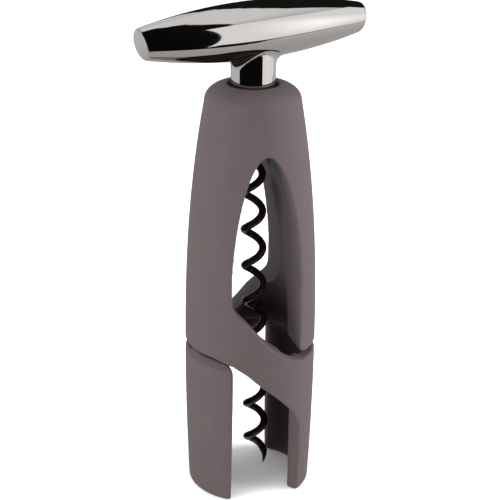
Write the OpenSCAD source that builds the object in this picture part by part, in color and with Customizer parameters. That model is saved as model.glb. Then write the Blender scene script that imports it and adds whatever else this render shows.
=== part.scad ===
// Self-pulling corkscrew. A two-legged frame stands over the neck of a bottle, and the
// worm of a cross handle turns and slides through the crown of the frame.
// Origin: centre of the feet, on the turning axis. +Z up, legs along X, windows along Y.

/* [Frame outside] */
// Height of the frame, from its feet to the rim round the handle stem
frame_h = 130; // [122:1:140]
// Radius of the frame at its widest place
belly_r = 20.15; // [20:0.05:21]
// Height of the widest place
belly_z = 47; // [42:1:52]
// How far the frame draws in from there to its feet
foot_in = 1.15; // [0.3:0.05:1.6]
// Radius of the frame where the dome starts
shoulder_r = 14.4; // [13.5:0.1:15]
// Height of the dome above that place
dome_h = 5; // [4:0.25:6]
// Height of the rounding on top of each leg
leg_round_h = 4.7; // [3:0.1:5]
// Depth of that rounding
leg_round_d = 2.1; // [1:0.1:2.4]
// Angle by which that rounding rises towards the windows
leg_round_lean = 17; // [10:1:20]
// Bevel on top of each leg, towards its corner at the window
leg_bevel = 1.9; // [1:0.1:2.2]
// Bevel round the outside of the feet
foot_bevel = 0.6; // [0.3:0.1:1]

/* [Frame inside] */
// Thickness of the legs round the space for the neck of the bottle
leg_t = 3.75; // [3.4:0.05:4.3]
// How far a rib thickens each leg inside, along the flat cut face
rib_t = 1.2; // [0.6:0.1:1.4]
// Angle that this rib takes up round the axis
rib_turn = 9; // [6:0.5:14]
// Height of the ledge that rests on the lip of the bottle
ledge_z = 48.8; // [48:0.1:49.5]
// Width of the ledge, round the hole that lets the cork through
ledge_w = 4.4; // [4:0.1:4.8]
// Height of the ledge's upright land
ledge_h = 2.2; // [1.5:0.1:3]
// How far the cork space narrows from the ledge up to its roof
roof_in = 2.8; // [2.4:0.1:3.2]
// Height of the conical roof
roof_h = 6; // [5:0.5:7]
// Height of the solid crown above the cork space
crown_block_h = 27; // [25:0.5:28]

/* [Frame openings] */
// Half width of the window
window_w = 10.5; // [9.6:0.1:10.8]
// Height at which the arch of the window starts
arch_z = 72; // [71:0.5:74]
// Height of the closed crown above the windows
crown_h = 18.2; // [17:0.2:20]
// Distance from the middle of the frame to the leg below the band, on the right of the lower gap
gap_far_x = 11.9; // [11.5:0.1:12.2]
// Heading of that leg's cut face round the axis, from the front
gap_far_turn = 36.4; // [35:0.1:37.5]
// Distance from the middle of the frame to the leg on the left of the lower gap
gap_near_x = 10.1; // [9.8:0.1:10.6]
// Height of the slit between a wall and the leg below it, at the side
slit_h = 1.9; // [1.6:0.1:2.4]
// Radius of the lower front corner of each wall
wall_corner_r = 2.4; // [1.5:0.1:3]

/* [Crown] */
// Radius of the recess that the handle stem turns in
recess_r = 7.45; // [7.3:0.05:7.8]
// Depth of that recess
recess_h = 4.2; // [3.8:0.1:4.6]
// Outer radius of the guide bush
bush_r = 5.8; // [5.6:0.1:6.2]
// Length of the bush below the recess
bush_l = 13; // [10:0.5:13.5]
// Thickness of the flange of the bush
flange_t = 1.4; // [1:0.1:1.6]
// Thickness of the thrust washer
washer_t = 1.2; // [1:0.1:1.4]

/* [Handle] */
// Length of the bar at mid height
bar_l = 73.4; // [66:0.2:80]
// Radius of the bar in the middle
bar_r = 8.5; // [8:0.1:9.2]
// Radius of the bar at its ends
bar_end_r = 4.5; // [4:0.1:5.5]
// Height of the bar's axis above the rim of the frame
bar_rise = 15.7; // [14.5:0.1:17]
// Radius of the stem
stem_r = 6.65; // [6.4:0.05:6.8]
// Rounding at the foot of the stem
stem_round = 0.9; // [0.5:0.1:1.2]
// Angle by which the ends of the bar lean in below
end_lean = 9; // [0:1:12]
// Angle of the bar from the line through the legs, at rest
bar_turn = 14.7; // [0:0.1:30]

/* [Worm] */
// Outer radius of the worm
worm_r = 3.97; // [3.8:0.01:4]
// Radius of the worm's wire
wire_r = 1.17; // [1.05:0.01:1.25]
// Rise of the worm in one turn
pitch = 11.84; // [11:0.02:12.5]
// Height of the worm's point above the surface that the frame stands on
tip_z = 4.4; // [2:0.1:5]
// Extra drop of the worm's last part, which makes its point steeper
tip_drop = 1.5; // [0.5:0.1:3]
// Heading of the point round the axis, from +X
point_turn = -58; // [-180:0.5:180]
// Height of the bend that brings the wire to the axis
bend_h = 5; // [4.5:0.25:6]
// Distance from that bend to the ferrule
bend_gap = 0.6; // [0.3:0.1:1]
// Radius of the steel ferrule that holds the worm
ferrule_r = 4.1; // [4.05:0.01:4.2]
// Depth of the ferrule inside the stem
ferrule_in = 12; // [9:0.5:13]
// Depth of the groove in the ferrule for the thrust washer
groove_d = 0.4; // [0.3:0.05:0.5]

/* [Hidden] */

over = 1;
turn_fit = 0.05;
face_fit = 0.1;
seat_fit = 0.02;
foot_r = belly_r - foot_in;
neck_r = belly_r - leg_t;
cork_r = neck_r - ledge_w;
roof_r = cork_r - roof_in;
shoulder_z = frame_h - dome_h;
rim_r = recess_r + turn_fit;
belly_power = 2;
shoulder_power = 2.4;
arch_power = 1.6;
profile_steps = 14;
dome_steps = 10;
arch_steps = 16;
curve_steps = 4;
round_steps = 6;
round_fn = 96;

// The edges of the ribbons, as shares of belly_r across and of ledge_z up
band_top_shares = [[-0.521, 1.428], [-0.517, 1.367], [-0.476, 1.314], [-0.357, 1.262],
                   [-0.189, 1.188], [-0.05, 1.117], [0.104, 1.06], [0.278, 1.01],
                   [0.47, 0.965], [0.6, 0.949], [0.72, 0.946]];
band_low_shares = [[-0.8, 1], [-0.655, 0.983], [-0.551, 0.962], [-0.462, 0.946],
                   [-0.318, 0.906], [-0.206, 0.864], [-0.089, 0.819], [0.0125, 0.783],
                   [0.189, 0.715], [0.365, 0.637], [0.457, 0.581], [0.521, 0.522],
                   [0.563, 0.4635]];
band_foot_share = 0.386;
leg_top_shares = [[-0.511, 0.93], [-0.551, 0.95], [-0.62, 0.96], [-0.72, 0.961]];
leg_edge_share = 0.89;

leg_top_z = ledge_z - slit_h;
side_x = belly_r + over;

recess_z = frame_h - recess_h;
flange_z = recess_z + flange_t;
washer_z = flange_z + face_fit;
stem_z = washer_z + washer_t + face_fit;
bar_z = frame_h + bar_rise;
bush_bore_r = ferrule_r + turn_fit;
groove_r = ferrule_r - groove_d;
ferrule_z = recess_z - bush_l;
ferrule_top = stem_z + ferrule_in;
coil_r = worm_r - wire_r;
arch_h = frame_h - crown_h - arch_z;
roof_z = frame_h - crown_block_h - roof_h;
bend_z = ferrule_z - bend_gap - bend_h;
wire_low = tip_z + tip_drop;
steep_share = 0.4;
ground_share = 0.25;
point_share = 0.15;
tiny_share = 0.005;

// Radius of the frame's outer face at a height
function frame_r(z) =
    z < belly_z
    ? belly_r - (belly_r - foot_r) * pow((belly_z - z) / belly_z, belly_power)
    : belly_r - (belly_r - shoulder_r) * pow((z - belly_z) / (shoulder_z - belly_z), shoulder_power);

// A table of shares in real sizes
function sized(shares) = [for (p = shares) [p[0] * belly_r, p[1] * ledge_z]];

// A smooth curve through points
function mix4(a, b, c, d, t) =
    0.5 * (2 * b + (c - a) * t + (2 * a - 5 * b + 4 * c - d) * t * t
           + (3 * b - a - 3 * c + d) * t * t * t);
function curve(p) = let (n = len(p) - 1)
    [for (i = [0 : n - 1], k = [0 : curve_steps - 1])
        mix4(p[max(i - 1, 0)], p[i], p[i + 1], p[min(i + 2, n)], k / curve_steps),
     p[n]];

// One side of the window's arch, from its foot (u = 0) to its top (u = 1)
function arch_point(side, u) =
    let (s = sin(90 * u))
    [side * window_w * sqrt(max(0, 1 - pow(s, arch_power))), arch_z + arch_h * s];

// Outline of the front window and of the slit that runs out of it to the right
function window_outline() = concat(
    [for (i = [0 : arch_steps - 1]) arch_point(-1, i / arch_steps)],
    [for (i = [arch_steps : -1 : 0]) arch_point(1, i / arch_steps)],
    [for (a = [180 : 18 : 270])
        [window_w + wall_corner_r * (1 + cos(a)), ledge_z + wall_corner_r * (1 + sin(a))]],
    [[side_x, ledge_z], [side_x, leg_top_z]],
    let (edge = curve(sized(band_top_shares)))
        [for (i = [len(edge) - 1 : -1 : 0]) edge[i]]);

// Outline of the front gap between the legs and of the slit that runs out of it to the left
function gap_outline() = concat(
    [[-gap_near_x, -over], [-gap_near_x, leg_edge_share * ledge_z]],
    curve(sized(leg_top_shares)),
    [[-side_x, leg_top_z], [-side_x, ledge_z]],
    curve(concat(sized(band_low_shares), [[gap_far_x, band_foot_share * ledge_z]])),
    [[gap_far_x, -over]]);

// A cut with the given outline through the front half of the frame
module front_cut(outline)
    rotate([90, 0, 0])
        linear_extrude(side_x)
            polygon(outline);

// The lower gap in front; the leg on its right ends in a flat face that points to the axis
module gap_cut()
    difference() {
        front_cut(gap_outline());
        rotate(gap_far_turn)
            translate([0, -2 * side_x, -2 * over])
                cube([2 * side_x, 2 * side_x, ledge_z]);
    }

// The inner rib of each leg, along its flat cut face
module leg_ribs()
    for (turn = [gap_far_turn, gap_far_turn + 180])
        rotate(turn)
            intersection() {
                rotate_extrude($fn = round_fn)
                    polygon([[neck_r - rib_t, -2 * over], [neck_r + over, -2 * over],
                             [neck_r + over, ledge_z], [neck_r - rib_t, ledge_z]]);
                translate([0, -2 * side_x, -2 * over])
                    cube([2 * side_x, 2 * side_x, 2 * ledge_z]);
                rotate(rib_turn)
                    translate([-2 * side_x, -2 * side_x, -2 * over])
                        cube([2 * side_x, 2 * side_x, 2 * ledge_z]);
            }

// The four openings: what is cut in front is cut again at the back, half a turn round
module ribbon_cuts()
    for (turn = [0, 180])
        rotate(turn) {
            front_cut(window_outline());
            gap_cut();
        }

// The full outer form of the frame
module frame_body()
    rotate_extrude($fn = round_fn)
        polygon(concat(
            [[0, 0], [foot_r - foot_bevel, 0]],
            [for (i = [0 : profile_steps])
                let (z = foot_bevel + (belly_z - foot_bevel) * i / profile_steps) [frame_r(z), z]],
            [for (i = [1 : profile_steps])
                let (z = belly_z + (shoulder_z - belly_z) * i / profile_steps) [frame_r(z), z]],
            [for (i = [1 : dome_steps])
                let (a = 90 * i / dome_steps)
                [rim_r + (shoulder_r - rim_r) * cos(a), shoulder_z + dome_h * sin(a)]],
            [[0, frame_h]]));

// The space inside the frame: bottle neck, ledge, cork space, bush seat and recess
module frame_hollow()
    rotate_extrude($fn = round_fn)
        polygon([[0, -over], [neck_r, -over], [neck_r, ledge_z], [cork_r, ledge_z],
                 [cork_r, ledge_z + ledge_h], [roof_r, roof_z], [bush_r, roof_z + roof_h],
                 [bush_r, recess_z], [recess_r, recess_z], [recess_r, frame_h + over],
                 [0, frame_h + over]]);

// Depth of the rounding on top of a leg, at a share of its height
function round_depth(t) = leg_round_d * t * (0.3 + 0.7 * t);

// What that rounding takes off, as a ring round the frame
module leg_round_ring() {
    start_z = leg_top_z - leg_round_h;
    rotate_extrude($fn = round_fn)
        polygon(concat(
            [for (i = [0 : round_steps])
                let (t = i / round_steps) [belly_r - round_depth(t), start_z + leg_round_h * t]],
            [[belly_r - leg_round_d, ledge_z], [belly_r + over, ledge_z], [belly_r + over, start_z]]));
}

// The bevel that takes its place towards the leg's corner, as a ring round the frame
module leg_bevel_ring()
    rotate_extrude($fn = round_fn)
        polygon([[belly_r + over, leg_top_z - leg_bevel - over], [belly_r + over, leg_top_z],
                 [belly_r - leg_bevel, leg_top_z]]);

// The rounding leans with the top of the leg, so that it runs out towards the window
module leg_rounds() {
    pivot_z = leg_top_z - leg_round_h;
    for (turn = [0, 180])
        rotate(turn) {
            intersection() {
                translate([belly_r, 0, pivot_z])
                    rotate([0, leg_round_lean, 0])
                        translate([-belly_r, 0, -pivot_z])
                            leg_round_ring();
                translate([gap_near_x, -side_x, pivot_z - over])
                    cube([side_x, 2 * side_x, leg_round_h + slit_h]);
            }
            intersection() {
                leg_bevel_ring();
                translate([gap_near_x, 0, pivot_z - over])
                    cube([side_x, side_x, leg_round_h + slit_h]);
            }
        }
}

// Moulded frame: crown and two crossing ribbons, each a wall, a band and the opposite leg
module frame()
    color([0.42, 0.38, 0.38])
        difference() {
            frame_body();
            difference() {
                frame_hollow();
                leg_ribs();
            }
            ribbon_cuts();
            leg_rounds();
        }

// Flanged guide bush in the crown
module crown_bush()
    color([0.1, 0.08, 0.08])
        rotate_extrude($fn = round_fn)
            polygon([[bush_bore_r, ferrule_z], [bush_r - seat_fit, ferrule_z],
                     [bush_r - seat_fit, recess_z], [recess_r - seat_fit, recess_z],
                     [recess_r - seat_fit, flange_z], [bush_bore_r, flange_z]]);

// Thrust washer, snapped into the groove of the ferrule under the stem
module thrust_washer()
    color([0.16, 0.13, 0.13])
        translate([0, 0, washer_z])
            difference() {
                cylinder(r = stem_r, h = washer_t, $fn = round_fn);
                translate([0, 0, -over])
                    cylinder(r = groove_r + turn_fit, h = washer_t + 2 * over, $fn = round_fn);
            }

// The bar's tapered round form, along X
module bar_form() {
    steps = 24;
    half = bar_l / 2;
    reach = half + bar_end_r;
    taper = (bar_r - bar_end_r) / (half * half);
    rotate([0, 90, 0])
        rotate_extrude($fn = round_fn)
            polygon(concat(
                [[0, -reach]],
                [for (i = [0 : steps])
                    let (x = -reach + 2 * reach * i / steps) [bar_r - taper * x * x, x]],
                [[0, reach]]));
}

// The block that trims both ends of the bar, with the ends leaning in below
module bar_trim() {
    shift = bar_r * tan(end_lean);
    half = bar_l / 2;
    translate([0, bar_r + over, 0])
        rotate([90, 0, 0])
            linear_extrude(2 * bar_r + 2 * over)
                polygon([[-half - shift, bar_r], [half + shift, bar_r],
                         [half - shift, -bar_r], [-half + shift, -bar_r]]);
}

// Cast handle: bar and stem in one piece, with a blind bore for the ferrule
module handle()
    color([0.78, 0.78, 0.78])
        rotate(bar_turn)
            difference() {
                union() {
                    translate([0, 0, bar_z])
                        intersection() {
                            bar_form();
                            bar_trim();
                        }
                    rotate_extrude($fn = round_fn)
                        polygon(concat(
                            [[0, stem_z]],
                            [for (a = [-90 : 15 : 0])
                                [stem_r - stem_round * (1 - cos(a)), stem_z + stem_round * (1 + sin(a))]],
                            [[stem_r, bar_z], [0, bar_z]]));
                }
                translate([0, 0, stem_z - over])
                    cylinder(r = ferrule_r + seat_fit, h = ferrule_in + over, $fn = round_fn);
            }

// Steel ferrule: pressed into the stem, turns in the bush and grips the worm's shank
module worm_ferrule()
    color([0.5, 0.5, 0.52])
        rotate_extrude($fn = round_fn)
            polygon([[wire_r + seat_fit, ferrule_z], [ferrule_r, ferrule_z],
                     [ferrule_r, washer_z - face_fit], [groove_r, washer_z - face_fit],
                     [groove_r, stem_z], [ferrule_r, stem_z], [ferrule_r, ferrule_top],
                     [wire_r + seat_fit, ferrule_top]]);

// Heading of the wire round the axis, at a height before the point is made steeper
function worm_angle(z) = point_turn + 360 * (z - wire_low) / pitch;

// The wire's centre line, by that height
function smooth(t) = let (u = min(1, max(0, t))) u * u * (3 - 2 * u);
function wire_place(z) =
    let (r = coil_r * (1 - smooth((z - bend_z) / bend_h)),
         a = worm_angle(z),
         low = max(0, 1 - (z - wire_low) / (steep_share * pitch)))
    [r * cos(a), r * sin(a), z - tip_drop * low * low];

// Radius of the wire, ground down towards the point
function wire_size(z) =
    let (ground = max(0, z - wire_low) / (ground_share * pitch))
    wire_r * min(1, point_share + (1 - point_share) * ground);
function unit(v) = v / norm(v);

// Black coated worm: one tube swept along the centre line, ground to a point
module worm() {
    sides = 8;
    rings_per_turn = 20;
    coil_end = bend_z + bend_h;
    coil_rings = round((coil_end - wire_low) / pitch * rings_per_turn);
    heights = concat([for (i = [0 : coil_rings]) wire_low + (coil_end - wire_low) * i / coil_rings],
                     [ferrule_top - face_fit]);
    step = tiny_share * pitch;
    rings = [for (z = heights)
        let (c = wire_place(z),
             t = z > coil_end - step ? [0, 0, 1] : unit(wire_place(z + step) - wire_place(z - step)),
             a = worm_angle(min(z, coil_end)),
             out = [cos(a), sin(a), 0],
             side = unit(cross(t, out)),
             up = cross(side, t),
             r = wire_size(z))
        [for (k = [0 : sides - 1])
            let (b = 360 * k / sides) c + r * (cos(b) * up + sin(b) * side)]];
    count = len(rings);
    color([0.1, 0.07, 0.07])
        polyhedron(
            points = [for (ring = rings) for (p = ring) p],
            faces = concat(
                [[for (k = [0 : sides - 1]) k]],
                [for (i = [0 : count - 2], k = [0 : sides - 1], half = [0, 1])
                    let (a = i * sides + k, b = i * sides + (k + 1) % sides)
                    half == 0 ? [a, a + sides, b] : [b, a + sides, b + sides]],
                [[for (k = [sides - 1 : -1 : 0]) (count - 1) * sides + k]]));
}

frame();
crown_bush();
thrust_washer();
handle();
worm_ferrule();
worm();
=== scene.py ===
"""Looks of a self-pulling corkscrew: soft-touch frame, polished cross handle and black worm."""

import math

import bpy
import numpy as np
import openvdb
from mathutils import Matrix, Vector


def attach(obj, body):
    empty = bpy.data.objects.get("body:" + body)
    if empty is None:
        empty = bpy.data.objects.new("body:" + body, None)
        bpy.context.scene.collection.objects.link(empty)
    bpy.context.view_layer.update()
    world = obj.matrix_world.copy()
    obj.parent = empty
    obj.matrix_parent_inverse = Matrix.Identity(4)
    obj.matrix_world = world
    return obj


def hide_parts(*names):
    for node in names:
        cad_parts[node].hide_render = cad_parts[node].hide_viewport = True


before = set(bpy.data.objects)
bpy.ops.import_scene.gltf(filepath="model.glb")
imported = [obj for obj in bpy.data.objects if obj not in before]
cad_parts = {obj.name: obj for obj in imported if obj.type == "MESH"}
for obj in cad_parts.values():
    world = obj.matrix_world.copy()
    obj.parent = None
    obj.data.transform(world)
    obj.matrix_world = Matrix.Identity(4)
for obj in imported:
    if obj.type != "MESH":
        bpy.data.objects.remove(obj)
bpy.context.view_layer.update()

MM = 0.001
TURN = 2 * math.pi
WHITE = (1.0, 1.0, 1.0, 1.0)
NO_QUADS = np.zeros((0, 4), dtype=np.uint32)

# Sizes of the corkscrew, in millimetres and degrees, as in its solids
FOOT_R = 19.0
BELLY_R = 20.15
BELLY_Z = 47.0
BELLY_POWER = 2
SHOULDER_R = 14.4
SHOULDER_Z = 125.0
SHOULDER_POWER = 2.4
CROWN_Z = 130.0
RIM_R = 7.5
NECK_R = 16.4
LEDGE_Z = 48.8
CORK_R = 12.0
LAND_Z = 51.0
ROOF_R = 9.2
ROOF_Z = 97.0
BUSH_R = 5.8
BUSH_FOOT_Z = 103.0
RECESS_R = 7.45
RECESS_Z = 125.8
STEM_R = 6.65
STEM_Z = 128.6
STEM_ROUND = 0.9
BAR_Z = 145.7
BAR_HALF = 36.7
BAR_R = 8.5
BAR_END_R = 4.5
BAR_TURN = 14.7
END_LEAN = 9.0
WORM_R = 3.97
WIRE_R = 1.17
PITCH = 11.84
POINT_Z = 4.4
POINT_DROP = 1.5
POINT_TURN = -58.0
STEEP_TURNS = 0.4
BEND_Z = 107.2
BEND_H = 5.0
WORM_TOP = 140.5

# Walls of the frame's hollow, from the feet up: radius and height of each corner
BELOW_FEET, ABOVE_RIM = -1.0, 131.0
HOLLOW = ((NECK_R, BELOW_FEET), (NECK_R, LEDGE_Z), (CORK_R, LEDGE_Z), (CORK_R, LAND_Z),
          (ROOF_R, ROOF_Z), (BUSH_R, BUSH_FOOT_Z), (BUSH_R, RECESS_Z), (RECESS_R, RECESS_Z),
          (RECESS_R, ABOVE_RIM))

# Finer forms that the solids leave out: rounded edges, the stem's fillet and the worm's play
EDGE_ROUND = 0.45
STEM_FILLET = 3.0
END_DOME = 0.5
END_ROUND = 0.55
GROUND_TURNS = 0.18
POINT_SHARE = 0.05
WORM_LEAN = 1.25
LEAN_HEADING = -17.0
LEAN_Z = 112.8

# Grid steps of the frame's two distance grids, and of the handle's
FINE_STEP = 0.25
FRAME_STEP = 0.55
HANDLE_STEP = 0.36

# The camera, fitted to the photo, in metres, degrees and pixels
CAMERA_AZIMUTH = -17.0
CAMERA_AWAY = 0.415858
CAMERA_HEIGHT = 0.242497
CAMERA_PITCH = 21.652
CAMERA_ROLL = -0.761
FOCAL_PIXELS = 1465.635
SHIFT_PIXELS = -1.071
PICTURE_PIXELS = 500.0
SENSOR_MM = 36.0


def new_object(name, data, material=None):
    """An object at the origin, in the scene, with that material on its mesh."""
    thing = bpy.data.objects.new(name, data)
    bpy.context.scene.collection.objects.link(thing)
    if material:
        data.materials.append(material)
    return thing


def place_camera():
    """The place and lens of the camera that took the photo."""
    azimuth, pitch, roll = map(math.radians, (CAMERA_AZIMUTH, CAMERA_PITCH, CAMERA_ROLL))
    eye = Vector((CAMERA_AWAY * math.sin(azimuth), -CAMERA_AWAY * math.cos(azimuth),
                  CAMERA_HEIGHT))
    ahead = Vector((-math.sin(azimuth) * math.cos(pitch),
                    math.cos(azimuth) * math.cos(pitch), -math.sin(pitch)))
    right = Vector((math.cos(azimuth), math.sin(azimuth), 0.0))
    up = right.cross(ahead)
    rolled_right = right * math.cos(roll) - up * math.sin(roll)
    rolled_up = right * math.sin(roll) + up * math.cos(roll)
    turned = Matrix((rolled_right, rolled_up, -ahead)).transposed().to_4x4()
    data = bpy.data.cameras.new("camera")
    data.sensor_width = SENSOR_MM
    data.lens = SENSOR_MM * FOCAL_PIXELS / PICTURE_PIXELS
    data.shift_x = SHIFT_PIXELS / PICTURE_PIXELS
    data.clip_start, data.clip_end = 0.01, 20.0
    camera = new_object("camera", data)
    camera.matrix_world = Matrix.Translation(eye) @ turned
    bpy.context.scene.camera = camera


# ---------------------------------------------------------------- materials
def add_node(tree, kind, inputs=None, props=None):
    """A node with its settings, and each input given a value or linked to a socket."""
    node = tree.nodes.new(kind)
    for key, value in (props or {}).items():
        setattr(node, key, value)
    for key, value in (inputs or {}).items():
        if isinstance(value, bpy.types.NodeSocket):
            tree.links.new(value, node.inputs[key])
        else:
            node.inputs[key].default_value = value
    return node


class Shader:
    """A node material under construction."""

    def __init__(self, name):
        self.material = bpy.data.materials.new(name)
        self.material.use_nodes = True
        self.tree = self.material.node_tree
        self.tree.nodes.clear()
        self.out = self.add("ShaderNodeOutputMaterial")

    def add(self, kind, inputs=None, **props):
        return add_node(self.tree, kind, inputs, props)

    def place(self):
        """Where on the piece a point is, in metres."""
        return self.add("ShaderNodeTexCoord").outputs["Object"]

    def noise(self, scale, detail=3.0, rough=0.5):
        """Noise whose grains are about 1 / scale metres wide."""
        return self.add("ShaderNodeTexNoise", {
            "Vector": self.place(), "Scale": scale, "Detail": detail,
            "Roughness": rough}).outputs["Fac"]

    def span(self, value, low, high):
        """The middle half of a noise's values, spread from low to high."""
        return self.ramp(value, 0.25, 0.75, low, high)

    def ramp(self, value, near, far, first, last):
        """From first to last while the value goes from near to far."""
        return self.add("ShaderNodeMapRange", {
            "Value": value, "From Min": near, "From Max": far,
            "To Min": first, "To Max": last}).outputs["Result"]

    def mix(self, share, first, second):
        """A colour between two colours."""
        return self.add("ShaderNodeMix", {0: share, 6: first, 7: second},
                        data_type="RGBA").outputs[2]

    def bump(self, height, strength, distance):
        return self.add("ShaderNodeBump", {
            "Height": height, "Strength": strength, "Distance": distance}).outputs["Normal"]

    def emission(self, strength, **colour):
        return self.add("ShaderNodeEmission", {"Strength": strength, **colour}).outputs[0]

    def either(self, share, first, second):
        """The first shader where the share is nought, the second where it is one."""
        return self.add("ShaderNodeMixShader", {0: share, 1: first, 2: second}).outputs[0]

    def surface(self, shader):
        """The finished material, with that shader."""
        self.tree.links.new(shader, self.out.inputs["Surface"])
        return self.material

    def principled(self, inputs):
        return self.surface(self.add("ShaderNodeBsdfPrincipled", inputs).outputs["BSDF"])


def soft_touch():
    """Taupe soft-touch lacquer; deep in the frame's hollow its colour goes nearly black, which is
    painted shade.
    """
    s = Shader("soft_touch_taupe")
    # Nearly black colour of the painted shade deep in the hollow
    hollow_shade_colour = (0.03, 0.007, 0.010, 1.0)
    # Per-point share of taupe; where it is low the colour is painted shade
    unshaded_share = s.add("ShaderNodeAttribute", attribute_name="unshaded_share").outputs["Fac"]
    mottle = s.mix(s.span(s.noise(160.0, 4.0), 0.0, 1.0),
                   (0.143, 0.113, 0.115, 1.0), (0.151, 0.120, 0.122, 1.0))
    return s.principled({
        "Base Color": s.mix(unshaded_share, hollow_shade_colour, mottle),
        "Roughness": s.span(s.noise(700.0), 0.56, 0.64), "Specular IOR Level": 0.3,
        "Sheen Weight": 0.04, "Sheen Roughness": 0.5,
        "Normal": s.bump(s.noise(2600.0, 2.0, 0.6), 0.12, 0.00004)})


def polished_chrome():
    """Mirror-bright plated casting with the faintest haze from handling."""
    s = Shader("polished_chrome")
    return s.principled({
        "Base Color": s.mix(s.span(s.noise(40.0), 0.0, 1.0),
                            (0.82, 0.78, 0.755, 1.0), (0.845, 0.805, 0.78, 1.0)),
        "Metallic": 1.0, "Roughness": s.span(s.noise(90.0, 5.0), 0.02, 0.055)})


def worm_coating():
    """Glossy black non-stick coating on the wire."""
    s = Shader("worm_coating")
    return s.principled({
        "Base Color": s.mix(s.span(s.noise(500.0, 4.0), 0.0, 1.0),
                            (0.012, 0.003, 0.005, 1.0), (0.020, 0.007, 0.009, 1.0)),
        "Roughness": s.span(s.noise(900.0), 0.2, 0.32), "Specular IOR Level": 0.6,
        "Coat Weight": 0.35, "Coat Roughness": 0.12,
        "Normal": s.bump(s.noise(1800.0, 3.0), 0.1, 0.00003)})


def moulded_plastic(name, dark, light, rough):
    """Fine-grained moulded plastic of the bush and the washer."""
    s = Shader(name)
    return s.principled({
        "Base Color": s.mix(s.span(s.noise(800.0, 4.0), 0.0, 1.0), dark, light),
        "Roughness": s.span(s.noise(1200.0), rough - 0.05, rough + 0.05),
        "Normal": s.bump(s.noise(3200.0, 2.0), 0.15, 0.00003)})


def turned_steel():
    """Steel with fine turning lines round the axis."""
    s = Shader("turned_steel")
    lines = s.add("ShaderNodeTexWave", {
        "Vector": s.place(), "Scale": 900.0, "Distortion": 0.6, "Detail": 3.0,
        "Detail Scale": 2.0}, bands_direction="Z").outputs["Fac"]
    return s.principled({
        "Base Color": s.mix(lines, (0.50, 0.50, 0.51, 1.0), (0.60, 0.60, 0.61, 1.0)),
        "Metallic": 1.0, "Roughness": s.span(lines, 0.24, 0.36),
        "Normal": s.bump(lines, 0.25, 0.00002)})


# ---------------------------------------------------------------- meshes
def new_piece(name, points, faces, material):
    """A smooth piece at the origin, from points in millimetres."""
    mesh = bpy.data.meshes.new(name)
    mesh.from_pydata((np.asarray(points, dtype=float) * MM).tolist(), [], faces)
    mesh.validate()
    mesh.shade_smooth()
    return new_object(name, mesh, material)


def mesh_points(mesh):
    """A mesh's points, in metres."""
    points = np.empty(len(mesh.vertices) * 3, dtype=np.float32)
    mesh.vertices.foreach_get("co", points)
    return points.reshape(-1, 3)


def mesh_edges(mesh):
    """The two points of each of a mesh's edges."""
    edges = np.empty(len(mesh.edges) * 2, dtype=np.int32)
    mesh.edges.foreach_get("vertices", edges)
    return edges.reshape(-1, 2)


def mesh_triangles(mesh):
    """A mesh's faces as triangles."""
    mesh.calc_loop_triangles()
    triangles = np.empty(len(mesh.loop_triangles) * 3, dtype=np.int32)
    mesh.loop_triangles.foreach_get("vertices", triangles)
    return triangles.reshape(-1, 3).astype(np.uint32)


def set_shape(mesh, points, normals):
    """Move a mesh's points to places in millimetres, and give them those normals."""
    mesh.vertices.foreach_set("co", (points * MM).astype(np.float32).ravel())
    mesh.update()
    mesh.normals_split_custom_set_from_vertices(normals.tolist())


def unit_rows(rows):
    """Rows made one long."""
    return rows / np.maximum(np.linalg.norm(rows, axis=1), 1e-9)[:, None]


def radius_of(p):
    """How far points are from the axis, and never quite nought."""
    return np.maximum(np.hypot(p[:, 0], p[:, 1]), 0.01)


def gradient(distance, p, step=0.01):
    """Slope of a distance, by differences."""
    out = np.empty_like(p)
    for k in range(3):
        shift = np.zeros(3)
        shift[k] = step
        out[:, k] = (distance(p + shift) - distance(p - shift)) / (2 * step)
    return out


def level_set(points, triangles, quads, step, reach):
    """Signed distance to a closed skin, on a grid of that step, out to reach."""
    return openvdb.FloatGrid.createLevelSetFromPolygons(
        np.ascontiguousarray(points, dtype=np.float32),
        triangles=np.ascontiguousarray(triangles, dtype=np.uint32),
        quads=np.ascontiguousarray(quads, dtype=np.uint32),
        transform=openvdb.createLinearTransform(voxelSize=step),
        halfWidth=reach / step + 2.0)


class DistanceGrid:
    """Distances to a skin on a regular grid, read between its points."""

    def __init__(self, points, triangles, quads, step, reach):
        margin = 6
        grid = level_set(points, triangles, quads, step, reach)
        first = np.floor(points.min(0) / step).astype(int) - margin
        count = np.ceil(points.max(0) / step).astype(int) + margin - first
        self.values = np.empty(tuple(count), dtype=np.float32)
        grid.copyToArray(self.values, ijk=tuple(int(k) for k in first))
        self.step, self.low, self.count = step, first * step, count

    def at(self, p):
        """The distances at points p."""
        place = (p - self.low) / self.step
        cell = np.clip(np.floor(place).astype(int), 0, self.count - 2)
        x, y, z = (place - cell).T
        total = np.zeros(len(p))
        for i, along in enumerate((1 - x, x)):
            for j, across in enumerate((1 - y, y)):
                for k, up in enumerate((1 - z, z)):
                    total += along * across * up * self.values[
                        cell[:, 0] + i, cell[:, 1] + j, cell[:, 2] + k]
        return total


def grid_skin(distance, low, high, step):
    """Skin where a distance is nought, from its values on a grid of that step."""
    counts = np.ceil((high - low) / step).astype(int)
    axes = [low[k] + step * np.arange(counts[k]) for k in range(3)]
    values = np.empty(tuple(counts), dtype=np.float32)
    for k, x in enumerate(axes[0]):
        spots = np.stack(np.meshgrid([x], axes[1], axes[2], indexing="ij"), -1).reshape(-1, 3)
        values[k] = distance(spots).reshape(counts[1:])
    band = step * 3
    grid = openvdb.FloatGrid(band)
    grid.copyFromArray(np.clip(values, -band, band))
    skin, triangles, quads = grid.convertToPolygons(isovalue=0.0, adaptivity=0.0)
    return skin.astype(float) * step + low, triangles, quads


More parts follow.
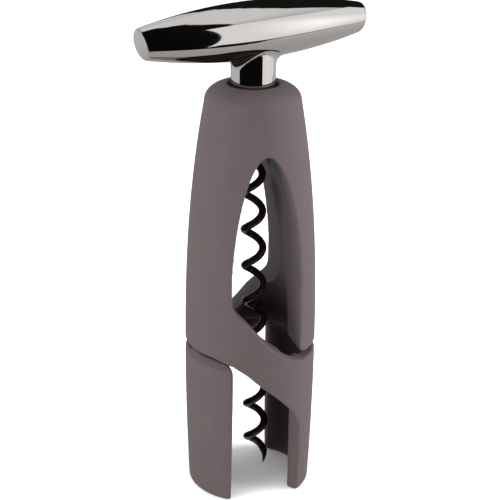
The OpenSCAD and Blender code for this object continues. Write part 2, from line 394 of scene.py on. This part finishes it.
def face_list(points, triangles, quads):
    """Faces of a grid's skin as lists, turned to point outwards."""
    split = np.concatenate([triangles, quads[:, :3], quads[:, [0, 2, 3]]]).astype(int)
    a, b, c = (points[split[:, k]].astype(float) for k in range(3))
    order = 1 if (a * np.cross(b, c)).sum() > 0 else -1
    return [t[::order] for t in triangles.tolist()] + [q[::order] for q in quads.tolist()]


def neighbours_mean(points, edges):
    """Mean place of each point's neighbours."""
    total = np.zeros_like(points)
    count = np.zeros(len(points))
    for a, b in ((0, 1), (1, 0)):
        np.add.at(total, edges[:, a], points[edges[:, b]])
        np.add.at(count, edges[:, a], 1)
    return total / np.maximum(count, 1)[:, None]


def settle(distance, skin, edges, rounds, probe, least):
    """Even the points out, and draw them onto the surface again. The slope of the distance
    is felt over probe, and its square counts as at least that much."""
    for _ in range(rounds):
        skin += 0.5 * (neighbours_mean(skin, edges) - skin)
        for _ in range(2):
            slope = gradient(distance, skin, probe)
            skin -= distance(skin)[:, None] * slope / np.maximum(
                (slope ** 2).sum(1), least)[:, None]
    return skin


def calm_normals(normals, edges, rounds):
    """Average normals with neighbours that point nearly the same way, so edges stay."""
    alike = 0.94
    a, b = edges[:, 0], edges[:, 1]
    for _ in range(rounds):
        share = np.clip(((normals[a] * normals[b]).sum(1) - alike) / (1 - alike), 0, 1) ** 2
        total = normals.copy()
        for k in range(3):
            total[:, k] += np.bincount(a, share * normals[b, k], len(normals))
            total[:, k] += np.bincount(b, share * normals[a, k], len(normals))
        normals = unit_rows(total)
    return normals


# ---------------------------------------------------------------- frame
def outer_r(z):
    """Radius of the frame's outer face at heights z."""
    low = BELLY_R - (BELLY_R - FOOT_R) * (
        np.clip(BELLY_Z - z, 0, None) / BELLY_Z) ** BELLY_POWER
    high = BELLY_R - (BELLY_R - SHOULDER_R) * (
        np.clip(z - BELLY_Z, 0, None) / (SHOULDER_Z - BELLY_Z)) ** SHOULDER_POWER
    return np.where(z < BELLY_Z, low, high)


def outer_gap(p):
    """Height of points above the frame's outer face, and the way out of it."""
    radius = radius_of(p)
    step = 0.05
    slope = (outer_r(p[:, 2] + step) - outer_r(p[:, 2] - step)) / (2 * step)
    wide, high = SHOULDER_R - RIM_R, CROWN_Z - SHOULDER_Z
    across, up = (radius - RIM_R) / wide, (p[:, 2] - SHOULDER_Z) / high
    dome = (p[:, 2] > SHOULDER_Z) & (radius > RIM_R)
    steep = np.maximum(2 * np.hypot(across / wide, up / high), 0.01)
    gap = np.where(dome, (across ** 2 + up ** 2 - 1) / steep,
                   (radius - outer_r(p[:, 2])) / np.hypot(1, slope))
    outwards = np.where(dome, 2 * across / wide / steep, 1 / np.hypot(1, slope))
    upwards = np.where(dome, 2 * up / high / steep, -slope / np.hypot(1, slope))
    way = np.stack([outwards * p[:, 0] / radius, outwards * p[:, 1] / radius, upwards], 1)
    return gap, way


def hollow_gap(p):
    """The same for the walls of the frame's hollow, for points within 1 mm of them."""
    nowhere = 9.0
    radius = radius_of(p)
    best = np.full(len(p), np.inf)
    gap = np.zeros(len(p))
    way = np.zeros((len(p), 3))
    for (r0, z0), (r1, z1) in zip(HOLLOW, HOLLOW[1:]):
        length = math.hypot(r1 - r0, z1 - z0)
        dr, dz = (r1 - r0) / length, (z1 - z0) / length
        along = (radius - r0) * dr + (p[:, 2] - z0) * dz
        across = -(radius - r0) * dz + (p[:, 2] - z0) * dr
        far = np.hypot(across, np.maximum(0, np.maximum(-along, along - length)))
        near = far < best
        best[near] = far[near]
        gap[near] = across[near]
        out = np.stack([-dz * p[:, 0] / radius, -dz * p[:, 1] / radius,
                        np.full(len(p), dr)], 1)
        way[near] = out[near]
    return np.where(best < 1.0, gap, nowhere), way


def frame_skin(material):
    """The frame with all its edges rounded, as a ball of that radius would leave them."""
    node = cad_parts["frame"].data
    points = mesh_points(node) / MM
    grid = level_set(points, mesh_triangles(node), NO_QUADS, FINE_STEP, EDGE_ROUND)
    inner = grid.convertToPolygons(isovalue=-EDGE_ROUND, adaptivity=0.0)
    inside = DistanceGrid(*inner, FINE_STEP, EDGE_ROUND + 3 * FRAME_STEP)

    def distance(p):
        return inside.at(p) - EDGE_ROUND

    skin, triangles, quads = grid_skin(
        distance, points.min(0) - 1.0, points.max(0) + 1.0, FRAME_STEP)
    piece = new_piece("frame_shell", skin, face_list(skin, triangles, quads), material)
    edges = mesh_edges(piece.data)
    skin = settle(distance, skin, edges, rounds=5, probe=0.1, least=0.3)
    normals = calm_normals(unit_rows(gradient(distance, skin, 0.12)), edges, rounds=40)
    skin, normals = true_walls(skin, normals)
    set_shape(piece.data, skin, normals)
    # Painted shade on the walls of the frame's hollow, kept as a point attribute
    paint_hollow_shade(piece.data, skin, normals, edges)
    return piece


def true_walls(skin, normals):
    """Draw the points that lie on a wall of known form right onto it."""
    reach, fade, aligned = 0.09, 0.05, 0.93
    for gap_and_way in (outer_gap, hollow_gap):
        gap, way = gap_and_way(skin)
        same = (np.abs(gap) < reach) & ((normals * way).sum(1) > aligned)
        share = (same * np.clip((reach - np.abs(gap)) / fade, 0, 1))[:, None]
        skin -= share * gap[:, None] * way
        normals = unit_rows(normals + share * (way - normals))
    return skin, normals


def paint_hollow_shade(mesh, skin, normals, edges):
    """How much of the taupe each point keeps against painted shade: all of it outside, on the cut
    faces and from the top of the band up, and less with the depth on the walls of the hollow
    below that, where shade falls."""
    far_inside, fade, spread_rounds = 30.0, 1.6, 40
    # Painted shade is full below the first height and gone above the second, in millimetres
    shaded_below, unshaded_above = 54.0, 68.0
    gap, way = hollow_gap(skin)
    radius = np.hypot(skin[:, 0], skin[:, 1])
    inwards = -(normals[:, :2] * skin[:, :2]).sum(1) / np.maximum(radius, 0.1)
    ribs = (inwards > 0.8) & (skin[:, 2] < LEDGE_Z) & (radius < NECK_R)
    hidden = ((np.abs(gap) < 0.2) & ((normals * way).sum(1) > 0.8)) | ribs
    depth = np.where(hidden, far_inside, 0.0)
    lengths = np.linalg.norm(skin[edges[:, 0]] - skin[edges[:, 1]], axis=1)
    for _ in range(spread_rounds):
        for a, b in ((0, 1), (1, 0)):
            np.minimum.at(depth, edges[:, b], depth[edges[:, a]] + lengths)
        depth[~hidden] = 0.0
    unshaded_share = np.maximum(np.exp(-depth / fade),
                       np.interp(skin[:, 2], (shaded_below, unshaded_above), (0.0, 1.0)))
    # Stored for the frame's shader: 1 keeps the taupe, 0 is full painted shade
    layer = mesh.attributes.new("unshaded_share", "FLOAT", "POINT")
    layer.data.foreach_set("value", unshaded_share.astype(np.float32))


# ---------------------------------------------------------------- handle
def rounded_corner(a, b, round_r):
    """Distance to where two faces meet, with a rounded edge between them."""
    inset = np.hypot(np.maximum(a + round_r, 0), np.maximum(b + round_r, 0))
    return np.minimum(-round_r, np.maximum(a, b)) + inset


def bar_distance(p):
    """Distance to the bar, p in the bar's own directions with its middle at the origin."""
    taper = (BAR_R - BAR_END_R) / BAR_HALF ** 2
    size = BAR_R - taper * p[:, 0] ** 2
    slope = 2 * taper * np.abs(p[:, 0])
    side = (np.hypot(p[:, 1], p[:, 2]) - size) / np.sqrt(1 + slope ** 2)
    lean = math.radians(END_LEAN)
    dome = END_DOME * (1 - (p[:, 1] ** 2 + p[:, 2] ** 2) / BAR_END_R ** 2)
    end = (np.abs(p[:, 0]) - BAR_HALF - p[:, 2] * math.tan(lean) - dome) * math.cos(lean)
    return rounded_corner(side, end, END_ROUND)


def stem_distance(p):
    """Distance to the stem, which ends inside the bar."""
    depth_in_bar = 4.0
    side = np.hypot(p[:, 0], p[:, 1]) - STEM_R
    foot = (STEM_Z - BAR_Z) - p[:, 2]
    return np.maximum(rounded_corner(side, foot, STEM_ROUND), p[:, 2] + depth_in_bar)


def fillet_path(count=360):
    """Where the middle of a ball rolls that touches both stem and bar, the direction half
    way between the two that it touches, and how far from it each of them is."""
    lowest, halvings = -14.0, 40
    turn = np.linspace(0, TURN, count, endpoint=False)
    reach = STEM_R + STEM_FILLET
    low = np.full(count, lowest)
    high = np.full(count, 0.0)
    for _ in range(halvings):
        middle = (low + high) / 2
        p = np.stack([reach * np.cos(turn), reach * np.sin(turn), middle], 1)
        far = bar_distance(p) > STEM_FILLET
        low = np.where(far, middle, low)
        high = np.where(far, high, middle)
    path = np.stack([reach * np.cos(turn), reach * np.sin(turn), low], 1)
    to_stem = np.stack([-np.cos(turn), -np.sin(turn), np.zeros(count)], 1)
    to_bar = unit_rows(-gradient(bar_distance, path))
    half_way = unit_rows(to_stem + to_bar)
    return path, half_way, (half_way * to_stem).sum(1)


FILLET = fillet_path()


def nearest_on_path(q, path, search=45):
    """Distance of points to a closed path round the axis, and where on it they are."""
    count = len(path)
    start = np.arctan2(q[:, 1], q[:, 0]) / TURN * count
    best = np.full(len(q), np.inf)
    where = np.zeros(len(q))
    for offset in range(-search, search + 1):
        k = np.round(start + offset).astype(int) % count
        a, b = path[k], path[(k + 1) % count]
        along = b - a
        t = np.clip(((q - a) * along).sum(1) / (along ** 2).sum(1), 0, 1)
        d = np.linalg.norm(q - a - along * t[:, None], axis=1)
        better = d < best
        best = np.where(better, d, best)
        where = np.where(better, k + t, where)
    return best, where


def handle_distance(p):
    """Distance to bar and stem, with a rolled fillet between them."""
    margin, low, high, deep, far, block = 0.6, -12.0, -3.0, -2.5, 3.0, 4000
    out = np.minimum(bar_distance(p), stem_distance(p))
    near = np.flatnonzero((np.hypot(p[:, 0], p[:, 1]) < STEM_R + STEM_FILLET + margin)
                          & (p[:, 2] > low) & (p[:, 2] < high) & (out > deep) & (out < far))
    if len(near) == 0:
        return out
    path, half_way, share = FILLET
    for part in np.array_split(near, max(1, len(near) // block)):
        q = p[part]
        best, where = nearest_on_path(q, path)
        first = np.floor(where).astype(int) % len(path)
        second = (first + 1) % len(path)
        t = (where - np.floor(where))[:, None]
        centre = path[first] * (1 - t) + path[second] * t
        middle = half_way[first] * (1 - t) + half_way[second] * t
        limit = share[first] * (1 - t[:, 0]) + share[second] * t[:, 0]
        toward = (q - centre) / np.maximum(best, 1e-6)[:, None]
        inside = ((toward * middle).sum(1) > limit * 0.9999) & (best > STEM_FILLET * 0.3)
        out[part] = np.where(inside, STEM_FILLET - best, out[part])
    return out


def handle_skin(material):
    """Bar and stem as one polished casting."""
    low = np.array([-BAR_HALF - 3.0, -BAR_R - 1.0, STEM_Z - BAR_Z - 1.0])
    high = np.array([BAR_HALF + 3.0, BAR_R + 1.0, BAR_R + 1.0])
    skin, triangles, quads = grid_skin(handle_distance, low, high, HANDLE_STEP)
    piece = new_piece("handle_casting", skin, face_list(skin, triangles, quads), material)
    skin = settle(handle_distance, skin, mesh_edges(piece.data), rounds=6, probe=0.01, least=0.2)
    normals = unit_rows(gradient(handle_distance, skin, 0.03))
    turn = math.radians(BAR_TURN)
    turned = np.array([[math.cos(turn), math.sin(turn), 0],
                       [-math.sin(turn), math.cos(turn), 0], [0, 0, 1]])
    set_shape(piece.data, skin @ turned + np.array([0, 0, BAR_Z]), normals @ turned)
    return piece


# ---------------------------------------------------------------- worm
class GeometryTree:
    """A Geometry Nodes tree under construction."""

    def __init__(self, name, sizes):
        self.tree = bpy.data.node_groups.new(name, "GeometryNodeTree")
        face = self.tree.interface
        face.new_socket("Geometry", in_out="OUTPUT", socket_type="NodeSocketGeometry")
        for label, value in sizes.items():
            kind = "NodeSocketInt" if isinstance(value, int) else "NodeSocketFloat"
            face.new_socket(label, in_out="INPUT", socket_type=kind).default_value = value
        face.new_socket("Material", in_out="INPUT", socket_type="NodeSocketMaterial")
        self.input = self.tree.nodes.new("NodeGroupInput")
        self.output = self.tree.nodes.new("NodeGroupOutput")

    def size(self, label):
        return self.input.outputs[label]

    def add(self, kind, inputs=None, **props):
        return add_node(self.tree, kind, inputs, props).outputs[0]

    def math(self, operation, *values, clamp=False):
        return self.add("ShaderNodeMath", dict(enumerate(values)),
                        operation=operation, use_clamp=clamp)


def worm_tree():
    """A round wire that winds up a helix, bends to the axis at the top and is ground to a
    point below."""
    f = GeometryTree("wound_worm", {
        "Rings": 440, "Sides": 18, "Coil Radius": (WORM_R - WIRE_R) * MM,
        "Wire Radius": WIRE_R * MM, "Pitch": PITCH * MM,
        "Low Height": (POINT_Z + POINT_DROP) * MM, "Point Drop": POINT_DROP * MM,
        "Point Turn": math.radians(POINT_TURN), "Bend Height": BEND_Z * MM,
        "Bend Length": BEND_H * MM, "Top Height": WORM_TOP * MM})
    m = f.math
    last = m("SUBTRACT", f.size("Rings"), 1.0)
    share = m("DIVIDE", f.add("GeometryNodeInputIndex"), last)
    rise = m("SUBTRACT", f.size("Top Height"), f.size("Low Height"))
    above = m("MULTIPLY", share, rise)
    height = m("ADD", above, f.size("Low Height"))
    turns = m("DIVIDE", above, f.size("Pitch"))
    heading = m("ADD", m("MULTIPLY", turns, TURN), f.size("Point Turn"))
    over_bend = m("SUBTRACT", height, f.size("Bend Height"))
    bent = m("DIVIDE", over_bend, f.size("Bend Length"), clamp=True)
    eased = m("MULTIPLY", m("MULTIPLY", bent, bent),
              m("SUBTRACT", 3.0, m("MULTIPLY", bent, 2.0)))
    radius = m("MULTIPLY", f.size("Coil Radius"), m("SUBTRACT", 1.0, eased))
    steep = m("SUBTRACT", 1.0, m("DIVIDE", turns, STEEP_TURNS), clamp=True)
    drop = m("MULTIPLY", f.size("Point Drop"), m("MULTIPLY", steep, steep))
    full = m("DIVIDE", turns, GROUND_TURNS, clamp=True)
    ground = m("ADD", POINT_SHARE, m("MULTIPLY", 1 - POINT_SHARE, full), clamp=True)
    place = f.add("ShaderNodeCombineXYZ", {
        "X": m("MULTIPLY", radius, m("COSINE", heading)),
        "Y": m("MULTIPLY", radius, m("SINE", heading)),
        "Z": m("SUBTRACT", height, drop)})
    line = f.add("GeometryNodeMeshLine", {"Count": f.size("Rings")})
    line = f.add("GeometryNodeMeshToCurve", {"Mesh": line})
    line = f.add("GeometryNodeSetPosition", {"Geometry": line, "Position": place})
    ring = f.add("GeometryNodeCurvePrimitiveCircle", {
        "Resolution": f.size("Sides"), "Radius": f.size("Wire Radius")})
    made = f.add("GeometryNodeCurveToMesh", {
        "Curve": line, "Profile Curve": ring, "Scale": ground, "Fill Caps": True})
    made = f.add("GeometryNodeRealizeInstances", {"Geometry": made})
    made = f.add("GeometryNodeSetShadeSmooth", {"Geometry": made})
    made = f.add("GeometryNodeSetMaterial", {"Geometry": made, "Material": f.size("Material")})
    f.tree.links.new(made, f.output.inputs[0])
    return f.tree


def lean_worm(mesh):
    """Lean the worm off the axis, as its play lets it in the photo."""
    spots = mesh_points(mesh).astype(float)
    drop = np.maximum(LEAN_Z * MM - spots[:, 2], 0) * math.tan(math.radians(WORM_LEAN))
    side = math.radians(LEAN_HEADING)
    spots[:, 0] += drop * math.cos(side)
    spots[:, 1] += drop * math.sin(side)
    mesh.vertices.foreach_set("co", spots.astype(np.float32).ravel())
    mesh.update()


def worm_piece(material):
    """The worm's wire, grown by its tree and made a plain mesh."""
    tree = worm_tree()
    seed = new_object("worm_seed", bpy.data.meshes.new("worm_seed"))
    modifier = seed.modifiers.new("worm", "NODES")
    modifier.node_group = tree
    for item in tree.interface.items_tree:
        if item.item_type == "SOCKET" and item.name == "Material":
            modifier[item.identifier] = material
    ready = seed.evaluated_get(bpy.context.evaluated_depsgraph_get())
    mesh = bpy.data.meshes.new_from_object(ready)
    bpy.data.objects.remove(seed)
    lean_worm(mesh)
    mesh.name = "worm_wire"
    return new_object("worm_wire", mesh)


# ---------------------------------------------------------------- stage
def glow(name, strength):
    """A plain glowing surface for the studio."""
    s = Shader(name)
    return s.surface(s.emission(strength))


def fading_glow(name, middle, near, far, bright, dim):
    """A glow that fades with the distance from its middle."""
    s = Shader(name)
    away = s.add("ShaderNodeVectorMath", {0: s.place(), 1: middle},
                 operation="DISTANCE").outputs["Value"]
    return s.surface(s.emission(s.ramp(away, near, far, bright, dim)))


def one_sided_shade():
    """Painted shade: dark from outside and clear from inside."""
    s = Shader("painted_crown_shade")
    side = s.add("ShaderNodeNewGeometry").outputs["Backfacing"]
    # Painted shade, as a faint dark glow
    dark = s.emission(0.012, Color=(1.0, 0.8, 0.75, 1.0))
    return s.surface(s.either(side, dark, s.add("ShaderNodeBsdfTransparent").outputs[0]))


def floor_material():
    """Pale floor: white to the camera where light reaches it, with its shadows kept, and
    grey in reflections."""
    s = Shader("pale_floor")
    seen = s.add("ShaderNodeLightPath").outputs
    plain, extra, more = (
        s.add("ShaderNodeBsdfDiffuse", {"Color": (tone, tone, tone, 1.0)}).outputs[0]
        for tone in (0.86, 1.0, 0.15))
    bright = s.add("ShaderNodeAddShader", {0: plain, 1: extra}).outputs[0]
    bright = s.add("ShaderNodeAddShader", {0: bright, 1: more}).outputs[0]
    shown = s.either(seen["Is Camera Ray"], plain, bright)
    away = s.add("ShaderNodeVectorMath", {0: s.place()}, operation="LENGTH").outputs["Value"]
    grey = s.emission(s.ramp(away, 0.1, 0.4, 0.34, 0.5))
    return s.surface(s.either(seen["Is Glossy Ray"], shown, grey))


def in_studio(right, toward, height):
    """A place by how far it is to the camera's right and towards it, in metres."""
    turn = math.radians(CAMERA_AZIMUTH)
    return (right * math.cos(turn) + toward * math.sin(turn),
            right * math.sin(turn) - toward * math.cos(turn), height)


def reflected_sheet(name, columns, material):
    """A sheet of studio gear which only reflections see, from columns of points."""
    rows = len(columns[0])
    mesh = bpy.data.meshes.new(name)
    mesh.from_pydata([p for column in columns for p in column], [], [
        (k, k + 1, k + rows + 1, k + rows)
        for i in range(len(columns) - 1) for k in range(i * rows, i * rows + rows - 1)])
    sheet = new_object(name, mesh, material)
    sheet.visible_camera = False
    sheet.visible_diffuse = False
    sheet.visible_transmission = False
    sheet.visible_shadow = False


def panel(name, away, outline, material):
    """A curved panel round the handle. Its outline gives headings, 0 towards the camera and
    90 to its right, each with a low and a high height angle."""
    side_steps, height_steps = 6, 8
    columns = []
    for (turn0, low0, high0), (turn1, low1, high1) in zip(outline, outline[1:]):
        for k in range(side_steps + 1):
            t = k / side_steps
            side = math.radians(turn0 + (turn1 - turn0) * t)
            low, high = low0 + (low1 - low0) * t, high0 + (high1 - high0) * t
            column = []
            for j in range(height_steps + 1):
                up = math.radians(low + (high - low) * j / height_steps)
                column.append(in_studio(away * math.cos(up) * math.sin(side),
                                        away * math.cos(up) * math.cos(side),
                                        BAR_Z * MM + away * math.sin(up)))
            columns.append(column)
    reflected_sheet(name, columns, material)


def crown_shade_sheet():
    """A sheet just over the crown that only reflections see, with painted shade: the crown lies
    in the bar's shade, so the bar's underside reflects dark.
    """
    gap, dome_start, dome_rings, sides = 0.3, 1.5, 10, 48
    wide, high = SHOULDER_R - RIM_R + gap, CROWN_Z - SHOULDER_Z + gap
    profile = [(RIM_R + wide * math.cos(t), SHOULDER_Z + high * math.sin(t))
               for t in np.linspace(dome_start, 0.0, dome_rings)]
    profile += [(float(outer_r(z)) + gap, z) for z in (121.0, 116.0, 111.0, 107.0)]
    columns = [[(r * MM * math.cos(t), r * MM * math.sin(t), z * MM) for r, z in profile]
               for t in np.linspace(0, TURN, sides + 1)]
    reflected_sheet("crown_shade_sheet", columns, one_sided_shade())


def reflected_studio():
    """What the polished handle mirrors: a dark room in front, a white table that ends, a
    softbox to the right of it, a pale ceiling, and a dark screen behind."""
    black, back_black = glow("black_panel", 0.003), glow("back_panel", 0.008)
    cloth_z, cloth_end = 0.002, 2.5
    table_edge = ((-1.6, 0.14), (0.08, 0.142), (0.122, 0.124), (0.174, 0.103), (0.21, 0.1),
                  (0.26, 0.112), (0.31, 0.108), (0.35, 0.087), (0.405, 0.054), (0.44, 0.01),
                  (1.8, 0.01))
    reflected_sheet("dark_front", [
        [in_studio(right, toward, cloth_z), in_studio(right, cloth_end, cloth_z)]
        for right, toward in table_edge], black)
    panel("front_panel", 1.5, [(-90, -60, 90), (60, -60, 90)], black)
    panel("upper_panel", 1.45, [
        (50.5, 37, 90), (54, 44, 90), (58, 42, 90), (60, 40.5, 90), (62.2, 41, 90), (63, 52, 90),
        (64, 60, 90), (68, 65, 90), (76, 71, 90), (95, 76, 90), (105, 78, 90), (120, 80, 90),
        (140, 80, 90), (160, 78, 90), (177, 74, 90), (200, 75, 90), (270, 76, 90)], black)
    panel("back_panel", 1.4, [
        (117, -3, 50), (119, -3, 54), (126, -3, 56), (135, -3, 58), (148, -3, 57.5),
        (154, -3, 57), (168, -3, 52), (176, -3, 46), (179, -3, 41), (184, -3, 36),
        (187, -3, 26), (189, -3, 14), (192, -3, 8)], back_black)
    panel("low_back_panel", 0.38, [(184, -30, 12), (204, -30, 12)], back_black)
    panel("grey_back", 1.6, [(172, -3, 40), (212, -3, 40)], glow("grey_panel", 0.64))
    panel("ceiling", 1.6, [(50, 35, 80), (270, 35, 80)], fading_glow(
        "ceiling_glow", (0.0, 0.0, 1.9), 1.14, 1.46, 0.66, 0.47))
    # The softbox stands on the table's edge, and its top rises with the distance
    edge_foot, softbox_foot, softbox_rise = 0.003, 0.012, 0.78
    feet = ((0.145, 0.14), (0.2, 0.165), (0.26, 0.128), (0.31, 0.112), (0.35, 0.092),
            (0.405, 0.06), (0.44, 0.02), (0.44, -0.04), (0.42, -0.12), (0.4, -0.25))
    reflected_sheet("table_edge", [
        [in_studio(*foot, edge_foot), in_studio(*foot, softbox_foot)] for foot in feet],
        glow("table_edge", 0.12))
    reflected_sheet("softbox", [
        [in_studio(*foot, softbox_foot),
         in_studio(*foot, BAR_Z * MM + softbox_rise * math.hypot(*foot))] for foot in feet],
        fading_glow("softbox_glow", in_studio(0.381, 0.081, 0.194), 0.03, 0.18, 1.15, 0.78))
    # Painted shade of the crown, for the bar's reflection
    crown_shade_sheet()


def area_light(name, place, target, size, power):
    """A round soft lamp that reflections don't see."""
    data = bpy.data.lights.new(name, "AREA")
    data.shape = "DISK"
    data.size = size
    data.energy = power
    lamp = new_object(name, data)
    lamp.location = place
    lamp.rotation_mode = "QUATERNION"
    lamp.rotation_quaternion = (Vector(target) - Vector(place)).to_track_quat("-Z", "Y")
    lamp.visible_glossy = False


def white_world():
    """Even light on the object, pale in reflections, and white to the camera."""
    world = bpy.data.worlds.new("studio")
    bpy.context.scene.world = world
    world.use_nodes = True
    tree = world.node_tree
    tree.nodes.clear()
    out = add_node(tree, "ShaderNodeOutputWorld")
    ambient, mirrored, white = (
        add_node(tree, "ShaderNodeBackground", {"Color": colour, "Strength": strength}).outputs[0]
        for colour, strength in (((0.8, 0.8, 0.8, 1.0), 0.62), ((0.8, 0.8, 0.8, 1.0), 0.5),
                                 (WHITE, 1.0)))
    seen = add_node(tree, "ShaderNodeLightPath").outputs
    light = add_node(tree, "ShaderNodeMixShader", {
        0: seen["Is Glossy Ray"], 1: ambient, 2: mirrored}).outputs[0]
    light = add_node(tree, "ShaderNodeMixShader", {
        0: seen["Is Camera Ray"], 1: light, 2: white}).outputs[0]
    tree.links.new(light, out.inputs["Surface"])


def studio():
    """The floor, the lamps and what the polished handle mirrors."""
    white_world()
    reach = 6
    mesh = bpy.data.meshes.new("floor")
    mesh.from_pydata([(-reach, -reach, 0), (reach, -reach, 0), (reach, reach, 0),
                      (-reach, reach, 0)], [], [(0, 1, 2, 3)])
    floor = new_object("floor", mesh, floor_material())
    area_light("right_lamp", in_studio(0.72, 0.0, 0.22), (0, 0, 0.06), 0.6, 4.4)
    area_light("left_lamp", in_studio(-0.62, 0.4, 0.3), (0, 0, 0.07), 0.6, 3.2)
    area_light("front_lamp", in_studio(-0.5, 0.9, 0.6), (0, 0, 0.07), 0.5, 0.5)
    reflected_studio()


# ---------------------------------------------------------------- the corkscrew
place_camera()

shell = frame_skin(soft_touch())
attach(shell, "frame_body")
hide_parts("frame")

casting = handle_skin(polished_chrome())
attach(casting, "handle_body")
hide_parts("handle")

wire = worm_piece(worm_coating())
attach(wire, "handle_body")
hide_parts("worm")

for name, material in (
        ("crown_bush", moulded_plastic("bush_plastic", (0.010, 0.006, 0.006, 1),
                                       (0.018, 0.012, 0.012, 1), 0.45)),
        ("thrust_washer", moulded_plastic("washer_plastic", (0.020, 0.013, 0.013, 1),
                                          (0.032, 0.022, 0.022, 1), 0.4)),
        ("worm_ferrule", turned_steel())):
    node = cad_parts[name]
    node.data.materials.clear()
    node.data.materials.append(material)

studio()
bpy.context.scene.view_settings.view_transform = "Standard"
